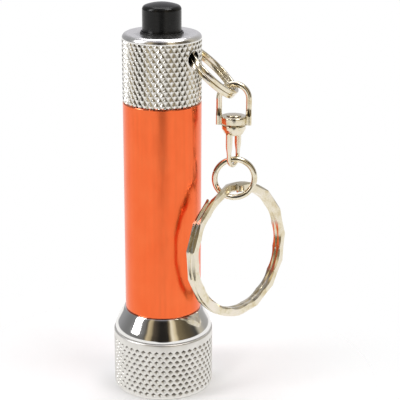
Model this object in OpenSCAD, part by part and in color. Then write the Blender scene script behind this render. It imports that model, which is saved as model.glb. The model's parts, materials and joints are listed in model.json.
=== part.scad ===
// Keychain flashlight: a turned aluminium torch that stands on its bezel, with a push button
// in the tail cap and a key ring on a swivel. Z runs up from the bezel rim, and the chain
// hangs on the +X side.

/* [Barrel and cells] */
// Visible length of the barrel between the head and the tail cap
barrel_l = 42.45; // [34:0.05:55]
// Diameter of one button cell
cell_d = 11.6; // [9:0.1:14]
// Height of one button cell
cell_h = 5.4; // [4.4:0.1:6.6]
// Wall of the thin sleeve that holds the cells together
sleeve_wall = 0.2; // [0.15:0.05:0.4]
// Wall of the barrel under the thread
neck_wall = 0.5; // [0.4:0.05:1]
// Height of the thread ridges
thread_h = 0.3; // [0.2:0.05:0.4]
// Distance from one thread ridge to the next
thread_pitch = 0.75; // [0.5:0.05:1]
// Length of the threaded neck at the head end
front_neck_l = 4.3; // [3.6:0.1:6]
// Length of the threaded neck at the tail end
tail_neck_l = 5; // [4.2:0.1:6.5]
// Wire diameter of the two O-rings
o_ring_d = 0.5; // [0.4:0.05:0.6]

/* [Head] */
// Diameter of one LED
led_d = 5; // [4:0.1:6.2]
// Length of one LED from its flange to the tip of its dome
led_l = 8.6; // [7:0.1:10.4]
// Free gap between neighbouring LED flanges
led_gap = 0.22; // [0.1:0.02:0.6]
// Width of the reflector outside the LEDs
reflector_rim = 1.25; // [1:0.05:2]
// Wall of the knurled bezel
bezel_wall = 1.2; // [1:0.05:2]
// Length of the knurled bezel
bezel_l = 12; // [11.4:0.1:12.1]
// Thickness of the lens
lens_t = 1; // [0.8:0.1:1.6]
// Thickness of the lip that holds the lens
lip_t = 0.8; // [0.6:0.1:1.2]
// Width of the lip that holds the lens
lip_w = 0.8; // [0.6:0.1:1.2]
// Thickness of the flat rubber seal under the lens
seal_t = 0.3; // [0.2:0.05:0.5]
// Thickness of the LED board
board_t = 1; // [0.8:0.1:1.6]

/* [Tail cap and switch] */
// Wall of the tail cap over the thread
cap_wall = 0.55; // [0.5:0.05:1.2]
// Length of the tail cap
cap_l = 13.25; // [12.8:0.05:16]
// Thickness of the tail cap's end plate
cap_plate_t = 1.2; // [0.8:0.1:1.6]
// Radius of the polished edge round the end plate
cap_edge_r = 1; // [0.5:0.1:1.2]
// Diameter of the push button
button_d = 7.46; // [6:0.02:9]
// How far the button stands out of the tail cap
button_out = 5.7; // [4.5:0.1:7]
// Travel of the button
button_travel = 1.2; // [0.6:0.1:1.6]
// Wall of the collar round the button
collar_wall = 0.25; // [0.2:0.05:0.4]
// Length of the switch body
switch_l = 18; // [16:0.1:22]
// Wall of the switch body
switch_wall = 1.15; // [0.8:0.05:1.4]

/* [Small split ring] */
// Outside diameter of the small split ring
split_od = 12.65; // [11.5:0.05:14]
// Size of the wire of the small split ring
split_wire = 0.85; // [0.7:0.05:1.1]
// Slope of the small split ring below the level, in degrees
split_slope = 43; // [35:1:50]
// Angle from the middle of the ring to each of its two holes in the cap, in degrees
hole_angle = 31; // [28:0.5:34]
// Distance of the holes below the end of the cap
hole_drop = 4.25; // [3.9:0.05:5]
// Diameter of the holes for the small split ring
hole_d = 3.2; // [3.1:0.05:3.6]
// Direction in which the chain hangs, in degrees from +X
chain_azimuth = -7; // [-45:1:45]

/* [Swivel] */
// Outside width of the bow
bow_w = 6.85; // [6:0.05:8.5]
// Height of the bow from its crown to the ends of its ears
bow_h = 8.45; // [7.5:0.05:11]
// Wire diameter of the bow
bow_wire = 1.15; // [0.9:0.05:1.4]
// Diameter of the disc between the ears of the bow
disc_d = 5.1; // [4.4:0.05:6.4]
// Thickness of that disc
disc_t = 1.4; // [1:0.05:2]
// Diameter of the collar that turns under the disc
collar_d = 4.7; // [4:0.05:5.6]
// Length of the eye with its collar
eye_l = 8.6; // [7:0.05:11]
// Outside width of the eye's loop
eye_w = 4.2; // [3.6:0.05:5]
// Thickness of the eye's strap
eye_t = 0.8; // [0.6:0.05:1]
// Width of the eye's strap
eye_strap = 0.8; // [0.7:0.05:1]
// Diameter of the swivel's rivet
rivet_d = 2; // [1.6:0.05:2.4]

/* [Jump ring and key ring] */
// Outside diameter of the jump ring
jump_od = 8.93; // [8.4:0.01:11]
// Wire diameter of the jump ring
jump_wire = 1.15; // [0.9:0.05:1.3]
// Outside diameter of the key ring
key_od = 27; // [24:0.1:32]
// Width of the key ring's flat wire, measured along its radius
key_wire_w = 1.8; // [1.4:0.05:2.2]
// Thickness of one turn of the key ring
key_wire_t = 1; // [0.8:0.05:1.2]

/* [Clearances] */
// Radial gap between the cells and their sleeve
cell_gap = 0.05; // [0.03:0.01:0.15]
// Radial gap between the sleeve and the barrel
sleeve_gap = 0.1; // [0.05:0.01:0.2]
// Radial gap between male and female threads
thread_gap = 0.1; // [0.05:0.01:0.15]
// Gap at the seams and between stacked faces
seam = 0.05; // [0.02:0.01:0.1]
// Radial running gap between the button and what guides it
button_gap = 0.07; // [0.03:0.01:0.1]
// Gap between two links of the chain
link_gap = 0.22; // [0.2:0.01:0.35]
// Gap between the flat key ring and the round jump ring
key_gap = 0.5; // [0.45:0.01:0.8]

/* [Hidden] */
$fn = 64;
eps = 0.01;

// Colours of the finished object
chrome = [0.80, 0.80, 0.79];
anodised = [0.95, 0.40, 0.20];
nickel = [0.82, 0.78, 0.68];
black_plastic = [0.08, 0.08, 0.09];
rubber_black = [0.05, 0.05, 0.05];
brass = [0.78, 0.62, 0.30];
spring_steel = [0.62, 0.62, 0.60];

// The LEDs sit on a circle on which their flanges just clear each other
led_count = 5;
led_step = 360 / led_count;
led_flange_d = led_d + 0.6;
led_chord = led_flange_d + led_gap;
led_ring_r = led_chord / (2 * sin(led_step / 2));
lead_offset = 1.27;
lead_r = 0.25;
solder_r = 0.6;
solder_reach = sqrt(led_ring_r * led_ring_r + lead_offset * lead_offset) + solder_r;

// Radii of the button and of the switch round it
button_r = button_d / 2;
guide_r = button_r + button_gap;
button_flange_r = button_r + 0.6;
switch_bore_r = button_flange_r + 0.1;
switch_r = switch_bore_r + switch_wall;

// The bore takes the cells in their sleeve, the backs of the LEDs and the switch
cell_bore_r = cell_d / 2 + cell_gap + sleeve_wall + sleeve_gap;
bore_r = max(cell_bore_r, solder_reach + 0.1, switch_r + 0.5);
thread_root_r = bore_r + neck_wall;
neck_r = thread_root_r + thread_h;
cap_bore_r = neck_r + thread_gap;
barrel_r = cap_bore_r + cap_wall;
o_ring_floor_r = neck_r - o_ring_d + 0.02;

// Radii of the head: wide enough for the LEDs and for a shoulder outside the barrel
skirt_wall = 0.75;
head_step = 1.1;
bezel_bore_r = max(led_ring_r + led_d / 2 + reflector_rim + 2 * seam, barrel_r + head_step);
head_r = bezel_bore_r + bezel_wall;
reflector_r = bezel_bore_r - 2 * seam;
skirt_r = bezel_bore_r - seam;
pocket_r = skirt_r - skirt_wall;
board_r = pocket_r - 2 * seam;
window_r = bezel_bore_r - lip_w;

// Heights of the head, from the bezel rim up
lens_z = lip_t + seal_t;
reflector_z = lens_z + lens_t + seam;
led_tip_gap = 0.3;
led_tip_z = reflector_z + led_tip_gap;
board_z = led_tip_z + led_l;
led_flange_t = 1;
board_top_z = board_z + board_t;
neck_end_gap = 0.15;
front_neck_z = board_top_z + neck_end_gap;
head_l = front_neck_z + front_neck_l;
reflector_t = 4.5;
reflector_skirt_t = 0.6;
skirt_z = reflector_z + reflector_t + 2;

// Heights of the barrel, the cap and the button
barrel_z = head_l + seam;
barrel_top_z = barrel_z + barrel_l;
tail_neck_top_z = barrel_top_z + tail_neck_l;
cap_z = barrel_top_z + seam;
cap_top_z = cap_z + cap_l;
button_top_z = cap_top_z + button_out;
neck_relief = 0.8;
thread_lead_in = 0.5;

// The switch hangs in the cap by a flange that the neck's end clamps
clip_t = 0.15;
flange_z = tail_neck_top_z + clip_t + seam;
flange_t = 0.8;
flange_r = cap_bore_r - seam;
cap_step_z = flange_z + flange_t + seam;
cap_upper_bore_r = cap_bore_r - 0.3;
switch_top_z = flange_z + flange_t + 1.2;
switch_z = switch_top_z - switch_l;
guide_lip_t = 0.8;
base_t = 1.4;
base_spigot_t = 0.4;
button_flange_t = 1;
button_flange_z = switch_top_z - guide_lip_t - button_flange_t;
rivet_head_t = 0.5;
rivet_head_r = 2;
rivet_r = 1;
base_floor_z = switch_z + base_t + base_spigot_t;
contact_gap = 0.15;
disc_contact_z = switch_z + 7.2;
disc_contact_t = 0.4;
contact_disc_r = switch_bore_r - 0.9;

// The cells float between two springs that share what room is left
cell_count = 4;
stack_l = cell_count * cell_h;
spring_room = switch_z - rivet_head_t - board_top_z - stack_l;
front_spring_l = spring_room * 0.55;
cell_z = board_top_z + front_spring_l;
tail_spring_z = cell_z + stack_l;
tail_spring_l = spring_room - front_spring_l;
spring_wire_r = 0.2;
spring_end_gap = 0.02;

// The small split ring passes through two holes in the cap wall
cap_wall_mid_r = (barrel_r + cap_upper_bore_r) / 2;
hole_z = cap_top_z - hole_drop;
hole_reach = cap_wall_mid_r * cos(hole_angle);
hole_half_chord = cap_wall_mid_r * sin(hole_angle);
split_r = (split_od - split_wire) / 2;
split_offset = sqrt(split_r * split_r - hole_half_chord * hole_half_chord);
split_reach = split_offset + split_r;
coil_gap = 0.04;

// Where the far end of the small split ring is: the chain hangs from there
tip_reach = hole_reach + split_reach * cos(split_slope);
tip_z = hole_z - split_reach * sin(split_slope);
split_corner = norm([split_wire + coil_gap / 2, split_wire / 2]);

// Heights along the chain, from the tip of the small split ring down
bow_crown_z = tip_z + split_corner + link_gap;
bow_top_z = bow_crown_z + bow_wire;
bow_r = (bow_w - bow_wire) / 2;
bow_arc_z = bow_crown_z + bow_wire / 2 - bow_r;
ear_z = bow_top_z - bow_h;
ear_below_disc = 0.25;
disc_z = ear_z + ear_below_disc;
disc_top_z = disc_z + disc_t;
swivel_gap = 0.3;
collar_top_z = disc_z - swivel_gap;
collar_h = 0.75;
cup_h = 1.2;
cup_r = 1.65;
eye_z = collar_top_z - eye_l;
eye_r = (eye_w - eye_t) / 2;
jump_r = (jump_od - jump_wire) / 2;
jump_top_z = eye_z + eye_t + link_gap + jump_wire / 2;
jump_z = jump_top_z - jump_r;
jump_bottom_z = jump_z - jump_r;
jump_shift = 0.3;
key_inner_r = key_od / 2 - key_wire_w;
key_r = (key_od - key_wire_w) / 2;
key_top_z = jump_bottom_z + jump_wire / 2 + key_gap;
key_yaw = 51;
key_lean = 5;
eye_yaw = 64;
jump_yaw = 7;

// Points of a helix of turns n between z0 and z1 whose radius goes from r0 to r1
helix_steps = 24;
helix_sides = 6;
function helix_points(r0, r1, z0, z1, n, w) = [
    for (i = [0 : n * helix_steps], k = [0 : helix_sides - 1])
        let (
            f = i / (n * helix_steps),
            a = 360 * i / helix_steps,
            b = 360 * k / helix_sides,
            r = r0 + (r1 - r0) * f + w * cos(b)
        )
        [r * cos(a), r * sin(a), z0 + w + (z1 - z0 - 2 * w) * f + w * sin(b)]
];
function helix_faces(n) = [
    for (i = [0 : n * helix_steps - 1], k = [0 : helix_sides - 1], h = [0 : 1])
        let (
            a = i * helix_sides + k,
            b = i * helix_sides + (k + 1) % helix_sides
        )
        h == 0 ? [a, b, b + helix_sides] : [a, b + helix_sides, a + helix_sides]
];
function helix_ends(n) = [
    [for (k = [helix_sides - 1 : -1 : 0]) k],
    [for (k = [0 : helix_sides - 1]) n * helix_steps * helix_sides + k]
];

// A coil spring that stands on z0
module coil_spring(r0, r1, z0, l, n) {
    polyhedron(
        points = helix_points(r0, r1, z0, z0 + l, n, spring_wire_r),
        faces = concat(helix_faces(n), helix_ends(n))
    );
}

module tube(r_out, r_in, l) {
    difference() {
        cylinder(r = r_out, h = l);
        translate([0, 0, -1]) cylinder(r = r_in, h = l + 2);
    }
}

// A bar section with rounded corners, centred
module bar_section(w, h, r) {
    square([w - 2 * r, h], center = true);
    square([w, h - 2 * r], center = true);
    for (x = [-1, 1], y = [-1, 1]) {
        translate([x * (w / 2 - r), y * (h / 2 - r)]) circle(r = r, $fn = 24);
    }
}

// Half profile of a threaded neck from z0 to z1, as ridges at the thread's pitch
function thread_profile(z0, z1) = [
    for (i = [0 : floor((z1 - z0) / thread_pitch) - 1], k = [0 : 3])
        [
            k == 1 || k == 2 ? neck_r : thread_root_r,
            z0 + thread_pitch * (i + [0.05, 0.4, 0.6, 0.95][k])
        ]
];

// The wire of a split ring: two turns, one above the other, with a ramp between them. The
// ramp's section is a little smaller than the wire's, and its ends run into the two turns.
ramp_angle = 30;
ramp_root = 1.5;
ramp_inset = 0.02;
ramp_stops = [[-1, 0], [0, 0], [1 / 3, 1 / 3], [2 / 3, 2 / 3], [1, 1], [2, 1]];
function ramp_at(f) = f < 0 ? -ramp_angle - ramp_root : f > 1 ? ramp_root : -ramp_angle * (1 - f);
module ring_slice(r, w, t, stop) {
    rotate([0, 0, ramp_at(stop[0])]) translate([r, 0, (t + coil_gap) * (stop[1] - 0.5)])
        rotate([90, 0, 0]) linear_extrude(height = eps, center = true)
            bar_section(w - 2 * ramp_inset, t - 2 * ramp_inset, t * 0.25);
}
module split_wire_ring(r, w, t) {
    for (side = [-1, 1]) {
        translate([0, 0, side * (t + coil_gap) / 2]) rotate_extrude(angle = 360 - ramp_angle, $fn = 96)
            translate([r, 0]) bar_section(w, t, t * 0.25);
    }
    for (i = [0 : len(ramp_stops) - 2]) {
        hull() {
            ring_slice(r, w, t, ramp_stops[i]);
            ring_slice(r, w, t, ramp_stops[i + 1]);
        }
    }
}

// Frames of the chain
module at_holes() {
    rotate([0, 0, chain_azimuth]) translate([hole_reach, 0, hole_z]) rotate([0, split_slope, 0])
        children();
}
module at_chain() {
    rotate([0, 0, chain_azimuth]) translate([tip_reach, 0, 0]) children();
}

// ---- Head ----

module bezel_ring() {
    rim_r = 0.6;
    top_r = 0.4;
    color(chrome) difference() {
        rotate_extrude($fn = 96) {
            translate([window_r, 0]) square([head_r - rim_r - window_r, bezel_l]);
            translate([window_r, rim_r]) square([head_r - window_r, bezel_l - rim_r - top_r]);
            translate([head_r - rim_r, rim_r]) circle(r = rim_r, $fn = 32);
            translate([head_r - top_r - 0.2, bezel_l - top_r]) circle(r = top_r, $fn = 32);
        }
        translate([0, 0, lip_t]) cylinder(r = bezel_bore_r, h = bezel_l);
    }
}

// A point at f along the curve from p to q that leaves p and meets q towards c
function bend(p, c, q, f) = (1 - f) * (1 - f) * p + 2 * f * (1 - f) * c + f * f * q;

module head_bell() {
    foot = [head_r - 0.28, bezel_l + seam];
    corner = [foot[0], bezel_l + 1];
    crown = [barrel_r + 0.22, head_l];
    blend_end = crown + (corner - crown) * 0.72;
    steps = 8;
    round_part = [for (i = [0 : steps]) bend(corner - [0, 0.7], corner, blend_end, i / steps)];
    color(chrome) difference() {
        union() {
            translate([0, 0, skirt_z]) cylinder(r = skirt_r, h = bezel_l + 1 - skirt_z);
            rotate_extrude($fn = 96)
                polygon(concat([[0, foot[1]], foot], round_part, [crown, [0, head_l]]));
        }
        translate([0, 0, skirt_z - 1]) cylinder(r = pocket_r, h = board_top_z + seam - skirt_z + 1);
        cylinder(r = cap_bore_r, h = head_l + 1);
        translate([0, 0, head_l - neck_relief]) cylinder(r = o_ring_floor_r + o_ring_d + 0.05,
            h = neck_relief + 1);
    }
}

module lens() {
    color([0.9, 0.95, 1, 0.4]) translate([0, 0, lens_z])
        cylinder(r = bezel_bore_r - 2 * seam, h = lens_t);
}

module lens_seal() {
    color(rubber_black) translate([0, 0, lip_t])
        tube(bezel_bore_r - 2 * seam, window_r + seam, seal_t);
}

module each_led() {
    for (i = [0 : led_count - 1]) {
        rotate([0, 0, 90 + led_step * i]) translate([led_ring_r, 0, 0]) children();
    }
}

module reflector() {
    cup_r = led_chord / 2 - 0.08;
    back_r = led_d / 2 + 0.08;
    color(chrome) difference() {
        union() {
            translate([0, 0, reflector_z]) cylinder(r = reflector_r, h = reflector_t);
            translate([0, 0, reflector_z]) tube(reflector_r, reflector_r - reflector_skirt_t,
                skirt_z - seam - reflector_z);
        }
        each_led() {
            translate([0, 0, reflector_z - eps]) cylinder(r1 = cup_r, r2 = back_r, h = 2);
            translate([0, 0, reflector_z + 1.9]) cylinder(r = back_r, h = reflector_t);
        }
        translate([0, 0, reflector_z - eps]) cylinder(r1 = 1.7, r2 = 1, h = 1.2);
    }
}

module led(i) {
    rotate([0, 0, 90 + led_step * i]) translate([led_ring_r, 0, 0]) color([0.93, 0.96, 1, 0.6]) {
        translate([0, 0, led_tip_z + led_d / 2]) sphere(d = led_d, $fn = 48);
        translate([0, 0, led_tip_z + led_d / 2]) cylinder(d = led_d, h = led_l - led_d / 2);
        difference() {
            translate([0, 0, board_z - led_flange_t]) cylinder(d = led_flange_d, h = led_flange_t);
            translate([led_d / 2, -led_d, board_z - led_flange_t - 1]) cube([led_d, 2 * led_d, 3]);
        }
        for (side = [-1, 1]) {
            translate([0, side * lead_offset, board_z - eps]) cylinder(r = lead_r, h = board_t + 0.5);
        }
    }
}

module led_board() {
    color("white") difference() {
        translate([0, 0, board_z]) cylinder(r = board_r, h = board_t);
        each_led() {
            for (side = [-1, 1]) {
                translate([0, side * lead_offset, board_z - 1]) cylinder(r = lead_r + 0.08, h = board_t + 2);
            }
        }
    }
}

module solder_joints() {
    color(spring_steel) each_led() {
        for (side = [-1, 1]) {
            translate([0, side * lead_offset, board_top_z]) difference() {
                cylinder(r1 = solder_r, r2 = 0.35, h = 0.4);
                translate([0, 0, -1]) cylinder(r = lead_r + 0.02, h = 3);
            }
        }
    }
}

module resistor() {
    color(black_plastic) translate([0.2, -(led_ring_r - 1.6), board_top_z + 0.3])
        cube([1.6, 0.8, 0.6], center = true);
}

module front_spring() {
    color(spring_steel) coil_spring(1.6, 3.4, board_top_z + spring_end_gap,
        front_spring_l - 2 * spring_end_gap, 5);
}

// ---- Barrel ----

module barrel() {
    front_groove_z = head_l - neck_relief + (neck_relief - o_ring_d) / 2;
    tail_groove_z = barrel_top_z + (neck_relief - o_ring_d) / 2;
    edge = 0.15;
    color(anodised) difference() {
        rotate_extrude($fn = 96) polygon(concat(
            [[0, front_neck_z], [thread_root_r, front_neck_z]],
            thread_profile(front_neck_z + thread_lead_in / 2, head_l - neck_relief),
            [[thread_root_r, head_l - neck_relief], [thread_root_r, barrel_z],
                [barrel_r - edge, barrel_z], [barrel_r, barrel_z + edge],
                [barrel_r, barrel_top_z - edge], [barrel_r - edge, barrel_top_z],
                [thread_root_r, barrel_top_z], [thread_root_r, barrel_top_z + neck_relief]],
            thread_profile(barrel_top_z + neck_relief, tail_neck_top_z - thread_lead_in / 2),
            [[thread_root_r, tail_neck_top_z], [0, tail_neck_top_z]]
        ));
        translate([0, 0, front_neck_z - 1]) cylinder(r = bore_r, h = tail_neck_top_z);
        translate([0, 0, front_groove_z]) tube(neck_r + 1, o_ring_floor_r, o_ring_d + seam);
        translate([0, 0, tail_groove_z]) tube(neck_r + 1, o_ring_floor_r, o_ring_d + seam);
    }
}

module o_ring(z) {
    color(rubber_black) rotate_extrude($fn = 96)
        translate([o_ring_floor_r + o_ring_d / 2 + eps, z + o_ring_d / 2 + seam / 2])
            circle(d = o_ring_d, $fn = 24);
}
module front_o_ring() {
    o_ring(head_l - neck_relief + (neck_relief - o_ring_d) / 2);
}
module tail_o_ring() {
    o_ring(barrel_top_z + (neck_relief - o_ring_d) / 2);
}

// ---- Cells ----

module battery_sleeve() {
    overlap = 0.6;
    color([0.9, 0.9, 0.88]) translate([0, 0, cell_z - overlap])
        tube(bore_r - sleeve_gap, cell_d / 2 + cell_gap, stack_l + 2 * overlap);
}

module cell(i) {
    cap_h = 0.6;
    chamfer = 0.3;
    color([0.78, 0.78, 0.78]) translate([0, 0, cell_z + i * cell_h]) {
        cylinder(r = cell_d / 2 - 0.7, h = cap_h);
        translate([0, 0, cap_h]) cylinder(r1 = cell_d / 2 - chamfer, r2 = cell_d / 2, h = chamfer);
        translate([0, 0, cap_h + chamfer]) cylinder(r = cell_d / 2, h = cell_h - cap_h - 2 * chamfer);
        translate([0, 0, cell_h - chamfer]) cylinder(r1 = cell_d / 2, r2 = cell_d / 2 - chamfer,
            h = chamfer - seam / 2);
    }
}

// ---- Tail cap and switch ----

module tail_cap() {
    color(chrome) difference() {
        rotate_extrude($fn = 96) {
            square([barrel_r - cap_edge_r, cap_top_z]);
            square([barrel_r, cap_top_z - cap_edge_r]);
            translate([barrel_r - cap_edge_r, cap_top_z - cap_edge_r]) circle(r = cap_edge_r, $fn = 48);
        }
        translate([0, 0, -1]) cylinder(r = barrel_r + 1, h = cap_z + 1);
        cylinder(r = cap_bore_r, h = cap_step_z);
        cylinder(r = cap_upper_bore_r, h = cap_top_z - cap_plate_t);
        cylinder(r = guide_r + collar_wall + seam, h = cap_top_z + 1);
        rotate([0, 0, chain_azimuth]) translate([0, 0, hole_z]) for (side = [-1, 1]) {
            rotate([0, 90, side * hole_angle]) cylinder(d = hole_d, h = barrel_r + 1);
        }
    }
}

module button_collar() {
    stand = 0.25;
    color(black_plastic) {
        translate([0, 0, cap_top_z - cap_plate_t - 0.25])
            tube(guide_r + collar_wall, guide_r, cap_plate_t + 0.25 + stand);
        translate([0, 0, cap_top_z - cap_plate_t - 0.25]) tube(guide_r + 0.7, guide_r, 0.2);
    }
}

module switch_housing() {
    color(black_plastic) difference() {
        union() {
            translate([0, 0, switch_z + base_t + seam]) cylinder(r = switch_r,
                h = switch_top_z - switch_z - base_t - seam);
            translate([0, 0, flange_z]) cylinder(r = flange_r, h = flange_t);
        }
        cylinder(r = switch_bore_r, h = switch_top_z - guide_lip_t);
        cylinder(r = guide_r, h = switch_top_z + 1);
        for (a = [0 : 90 : 270]) {
            rotate([0, 0, a]) translate([switch_bore_r - 0.2, -0.6, switch_z + 8]) cube([0.7, 1.2, 5]);
        }
    }
}

module switch_base() {
    color(black_plastic) difference() {
        union() {
            translate([0, 0, switch_z]) cylinder(r = switch_r, h = base_t);
            translate([0, 0, switch_z]) cylinder(r = switch_bore_r - seam, h = base_t + base_spigot_t);
        }
        cylinder(r = rivet_r + 0.03, h = switch_top_z);
    }
}

module contact_rivet() {
    color(brass) {
        translate([0, 0, switch_z - rivet_head_t]) cylinder(r = rivet_head_r, h = rivet_head_t - eps);
        translate([0, 0, switch_z - rivet_head_t]) cylinder(r = rivet_r,
            h = disc_contact_z - button_travel - contact_gap - switch_z + rivet_head_t);
    }
}

module earth_clip() {
    leaf_angle = 40;
    leaf_z = flange_z - 11;
    color(brass) rotate([0, 0, 160]) {
        rotate_extrude(angle = leaf_angle, $fn = 96) translate([switch_r + 0.02, 0]) {
            translate([0, leaf_z]) square([clip_t, flange_z - eps - leaf_z]);
            translate([0, flange_z - clip_t]) square([neck_r - switch_r - 0.1, clip_t - eps]);
        }
    }
}

module tail_spring() {
    color(spring_steel) coil_spring(3.6, 1.7, tail_spring_z + spring_end_gap,
        tail_spring_l - 2 * spring_end_gap, 4);
}

module return_spring() {
    color(spring_steel) coil_spring(2.2, 2.2, base_floor_z + spring_end_gap,
        disc_contact_z - base_floor_z - 2 * spring_end_gap, 6);
}

module button() {
    edge_r = 1.1;
    crown = 0.45;
    crown_r = ((button_r - edge_r) * (button_r - edge_r) + crown * crown) / (2 * crown);
    skirt_l = 2.6;
    color(black_plastic) {
        translate([0, 0, button_flange_z]) rotate_extrude($fn = 96) {
            square([button_r, button_top_z - crown - edge_r - button_flange_z]);
            square([button_r - edge_r, button_top_z - crown - button_flange_z]);
            translate([button_r - edge_r, button_top_z - crown - edge_r - button_flange_z])
                circle(r = edge_r, $fn = 48);
            intersection() {
                translate([0, button_top_z - crown_r - button_flange_z]) circle(r = crown_r, $fn = 128);
                translate([0, button_top_z - crown - 0.3 - button_flange_z]) square([button_r - edge_r, 1]);
            }
        }
        translate([0, 0, button_flange_z]) cylinder(r = button_flange_r, h = button_flange_t);
        difference() {
            translate([0, 0, button_flange_z - skirt_l]) tube(button_r - 0.4, button_r - 1.4, skirt_l + eps);
            for (a = [0 : 90 : 270]) {
                rotate([0, 0, a]) translate([0, -0.5, button_flange_z - skirt_l - 1]) cube([button_r, 1, 2]);
            }
        }
    }
}

module switch_rotor() {
    rotor_top_z = button_flange_z - 0.6;
    rotor_r = button_r - 1.55;
    fin_z = rotor_top_z - 4;
    color([0.85, 0.85, 0.82]) {
        translate([0, 0, disc_contact_z + disc_contact_t + eps]) cylinder(r = rotor_r - 0.8,
            h = rotor_top_z - disc_contact_z - disc_contact_t);
        translate([0, 0, fin_z]) cylinder(r = rotor_r, h = rotor_top_z - fin_z);
        for (a = [45 : 90 : 315]) {
            rotate([0, 0, a]) translate([0, -0.4, fin_z - 1]) cube([button_r - 0.1, 0.8, 1.4]);
        }
    }
}

module contact_disc() {
    color(brass) translate([0, 0, disc_contact_z]) cylinder(r = contact_disc_r, h = disc_contact_t);
}

// ---- Chain ----

module split_ring() {
    color(nickel) at_holes() translate([split_offset, 0, 0]) rotate([0, 0, 200])
        split_wire_ring(split_r, split_wire, split_wire);
}

module swivel_bow() {
    ear_h = 2.4;
    ear_w = 1.7;
    color(nickel) at_chain() difference() {
        union() {
            translate([0, 0, bow_arc_z]) rotate([90, 0, 0]) rotate_extrude(angle = 180, $fn = 96)
                translate([bow_r, 0]) circle(d = bow_wire, $fn = 32);
            for (side = [-1, 1]) {
                translate([side * bow_r, 0, ear_z + 0.4]) cylinder(d = bow_wire, h = bow_arc_z - ear_z - 0.4);
                translate([side * bow_r, 0, ear_z]) linear_extrude(height = ear_h)
                    bar_section(bow_wire, ear_w, 0.3);
            }
            translate([0, 0, disc_z]) cylinder(d1 = disc_d - 0.3, d2 = disc_d, h = 0.2);
            translate([0, 0, disc_z + 0.2]) cylinder(d = disc_d, h = disc_t - 0.4);
            translate([0, 0, disc_top_z - 0.2]) cylinder(d1 = disc_d, d2 = disc_d - 0.3, h = 0.2);
        }
        translate([0, 0, disc_z - 1]) cylinder(r = rivet_d / 2 + 0.05, h = disc_t + 2);
    }
}

module swivel_eye() {
    strand_l = collar_top_z - collar_h - eye_z - eye_r - eye_t / 2;
    color(nickel) at_chain() rotate([0, 0, eye_yaw]) difference() {
        union() {
            translate([0, 0, collar_top_z - collar_h]) cylinder(d = collar_d, h = collar_h);
            translate([0, 0, collar_top_z - collar_h - cup_h])
                cylinder(r1 = cup_r, r2 = collar_d / 2, h = cup_h);
            translate([0, 0, eye_z + eye_r + eye_t / 2]) {
                rotate([-90, 0, 0]) rotate_extrude(angle = 180, $fn = 96)
                    translate([eye_r, 0]) bar_section(eye_t, eye_strap, 0.25);
                for (side = [-1, 1]) {
                    translate([side * eye_r, 0, 0]) linear_extrude(height = strand_l)
                        bar_section(eye_t, eye_strap, 0.25);
                }
            }
        }
        translate([0, 0, collar_top_z - collar_h - 0.3]) cylinder(r = rivet_d / 2 + 0.02, h = 3);
    }
}

module swivel_rivet() {
    head_r = rivet_d / 2 + 0.45;
    foot_z = collar_top_z - collar_h - 0.28;
    color(nickel) at_chain() {
        translate([0, 0, foot_z]) cylinder(d = rivet_d, h = disc_top_z + 0.1 - foot_z);
        translate([0, 0, disc_top_z + seam]) cylinder(r1 = head_r, r2 = head_r - 0.35, h = 0.3);
    }
}

module jump_ring() {
    cut_angle = 1.5;
    color(nickel) at_chain() translate([jump_shift, 0, jump_z]) rotate([90, 0, jump_yaw])
        rotate([0, 0, 160]) rotate_extrude(angle = 360 - cut_angle, $fn = 96)
            translate([jump_r, 0]) circle(d = jump_wire, $fn = 32);
}

module key_ring() {
    color(nickel) at_chain() translate([jump_shift, 0, key_top_z]) rotate([0, 0, key_yaw])
        rotate([90 - key_lean, 0, 0]) translate([0, -key_inner_r, 0]) rotate([0, 0, 120])
            split_wire_ring(key_r, key_wire_w, key_wire_t);
}

bezel_ring();
head_bell();
lens();
lens_seal();
reflector();
led_board();
led(0);  // led_1
led(1);  // led_2
led(2);  // led_3
led(3);  // led_4
led(4);  // led_5
resistor();
solder_joints();
front_spring();
barrel();
front_o_ring();
tail_o_ring();
battery_sleeve();
cell(0);  // cell_1
cell(1);  // cell_2
cell(2);  // cell_3
cell(3);  // cell_4
tail_cap();
button_collar();
switch_housing();
switch_base();
contact_rivet();
earth_clip();
tail_spring();
return_spring();
button();
switch_rotor();
contact_disc();
split_ring();
swivel_bow();
swivel_eye();
swivel_rivet();
jump_ring();
key_ring();
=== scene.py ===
"""Looks of a small keychain torch: knurled bezel, mirror bell, anodised barrel, knurled tail cap
with a push button, and a key ring on a swivel chain. Lengths are in millimetres until a piece is
made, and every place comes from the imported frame."""

import json
import math

import bmesh
import bpy
import numpy as np
from mathutils import Matrix, Vector


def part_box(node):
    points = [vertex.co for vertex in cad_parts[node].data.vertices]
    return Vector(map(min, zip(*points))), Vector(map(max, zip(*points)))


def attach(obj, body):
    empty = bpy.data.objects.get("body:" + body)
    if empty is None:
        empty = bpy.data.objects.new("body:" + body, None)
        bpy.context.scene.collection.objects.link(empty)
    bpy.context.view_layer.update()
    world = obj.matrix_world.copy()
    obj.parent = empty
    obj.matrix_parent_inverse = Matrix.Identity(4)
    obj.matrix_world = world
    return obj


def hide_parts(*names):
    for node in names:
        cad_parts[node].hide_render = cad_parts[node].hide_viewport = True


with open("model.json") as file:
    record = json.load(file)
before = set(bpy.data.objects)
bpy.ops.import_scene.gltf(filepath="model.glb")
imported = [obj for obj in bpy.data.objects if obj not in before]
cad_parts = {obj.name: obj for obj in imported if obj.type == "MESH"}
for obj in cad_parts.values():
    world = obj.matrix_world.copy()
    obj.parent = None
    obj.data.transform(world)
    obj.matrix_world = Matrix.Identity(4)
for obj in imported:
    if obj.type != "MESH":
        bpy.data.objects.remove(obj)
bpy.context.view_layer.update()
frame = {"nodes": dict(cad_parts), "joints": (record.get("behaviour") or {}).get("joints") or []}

MM = 0.001
TURN = 2 * math.pi
UPRIGHT = math.radians(90)
JOINTS = {j["name"]: j for j in frame["joints"]}

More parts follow.
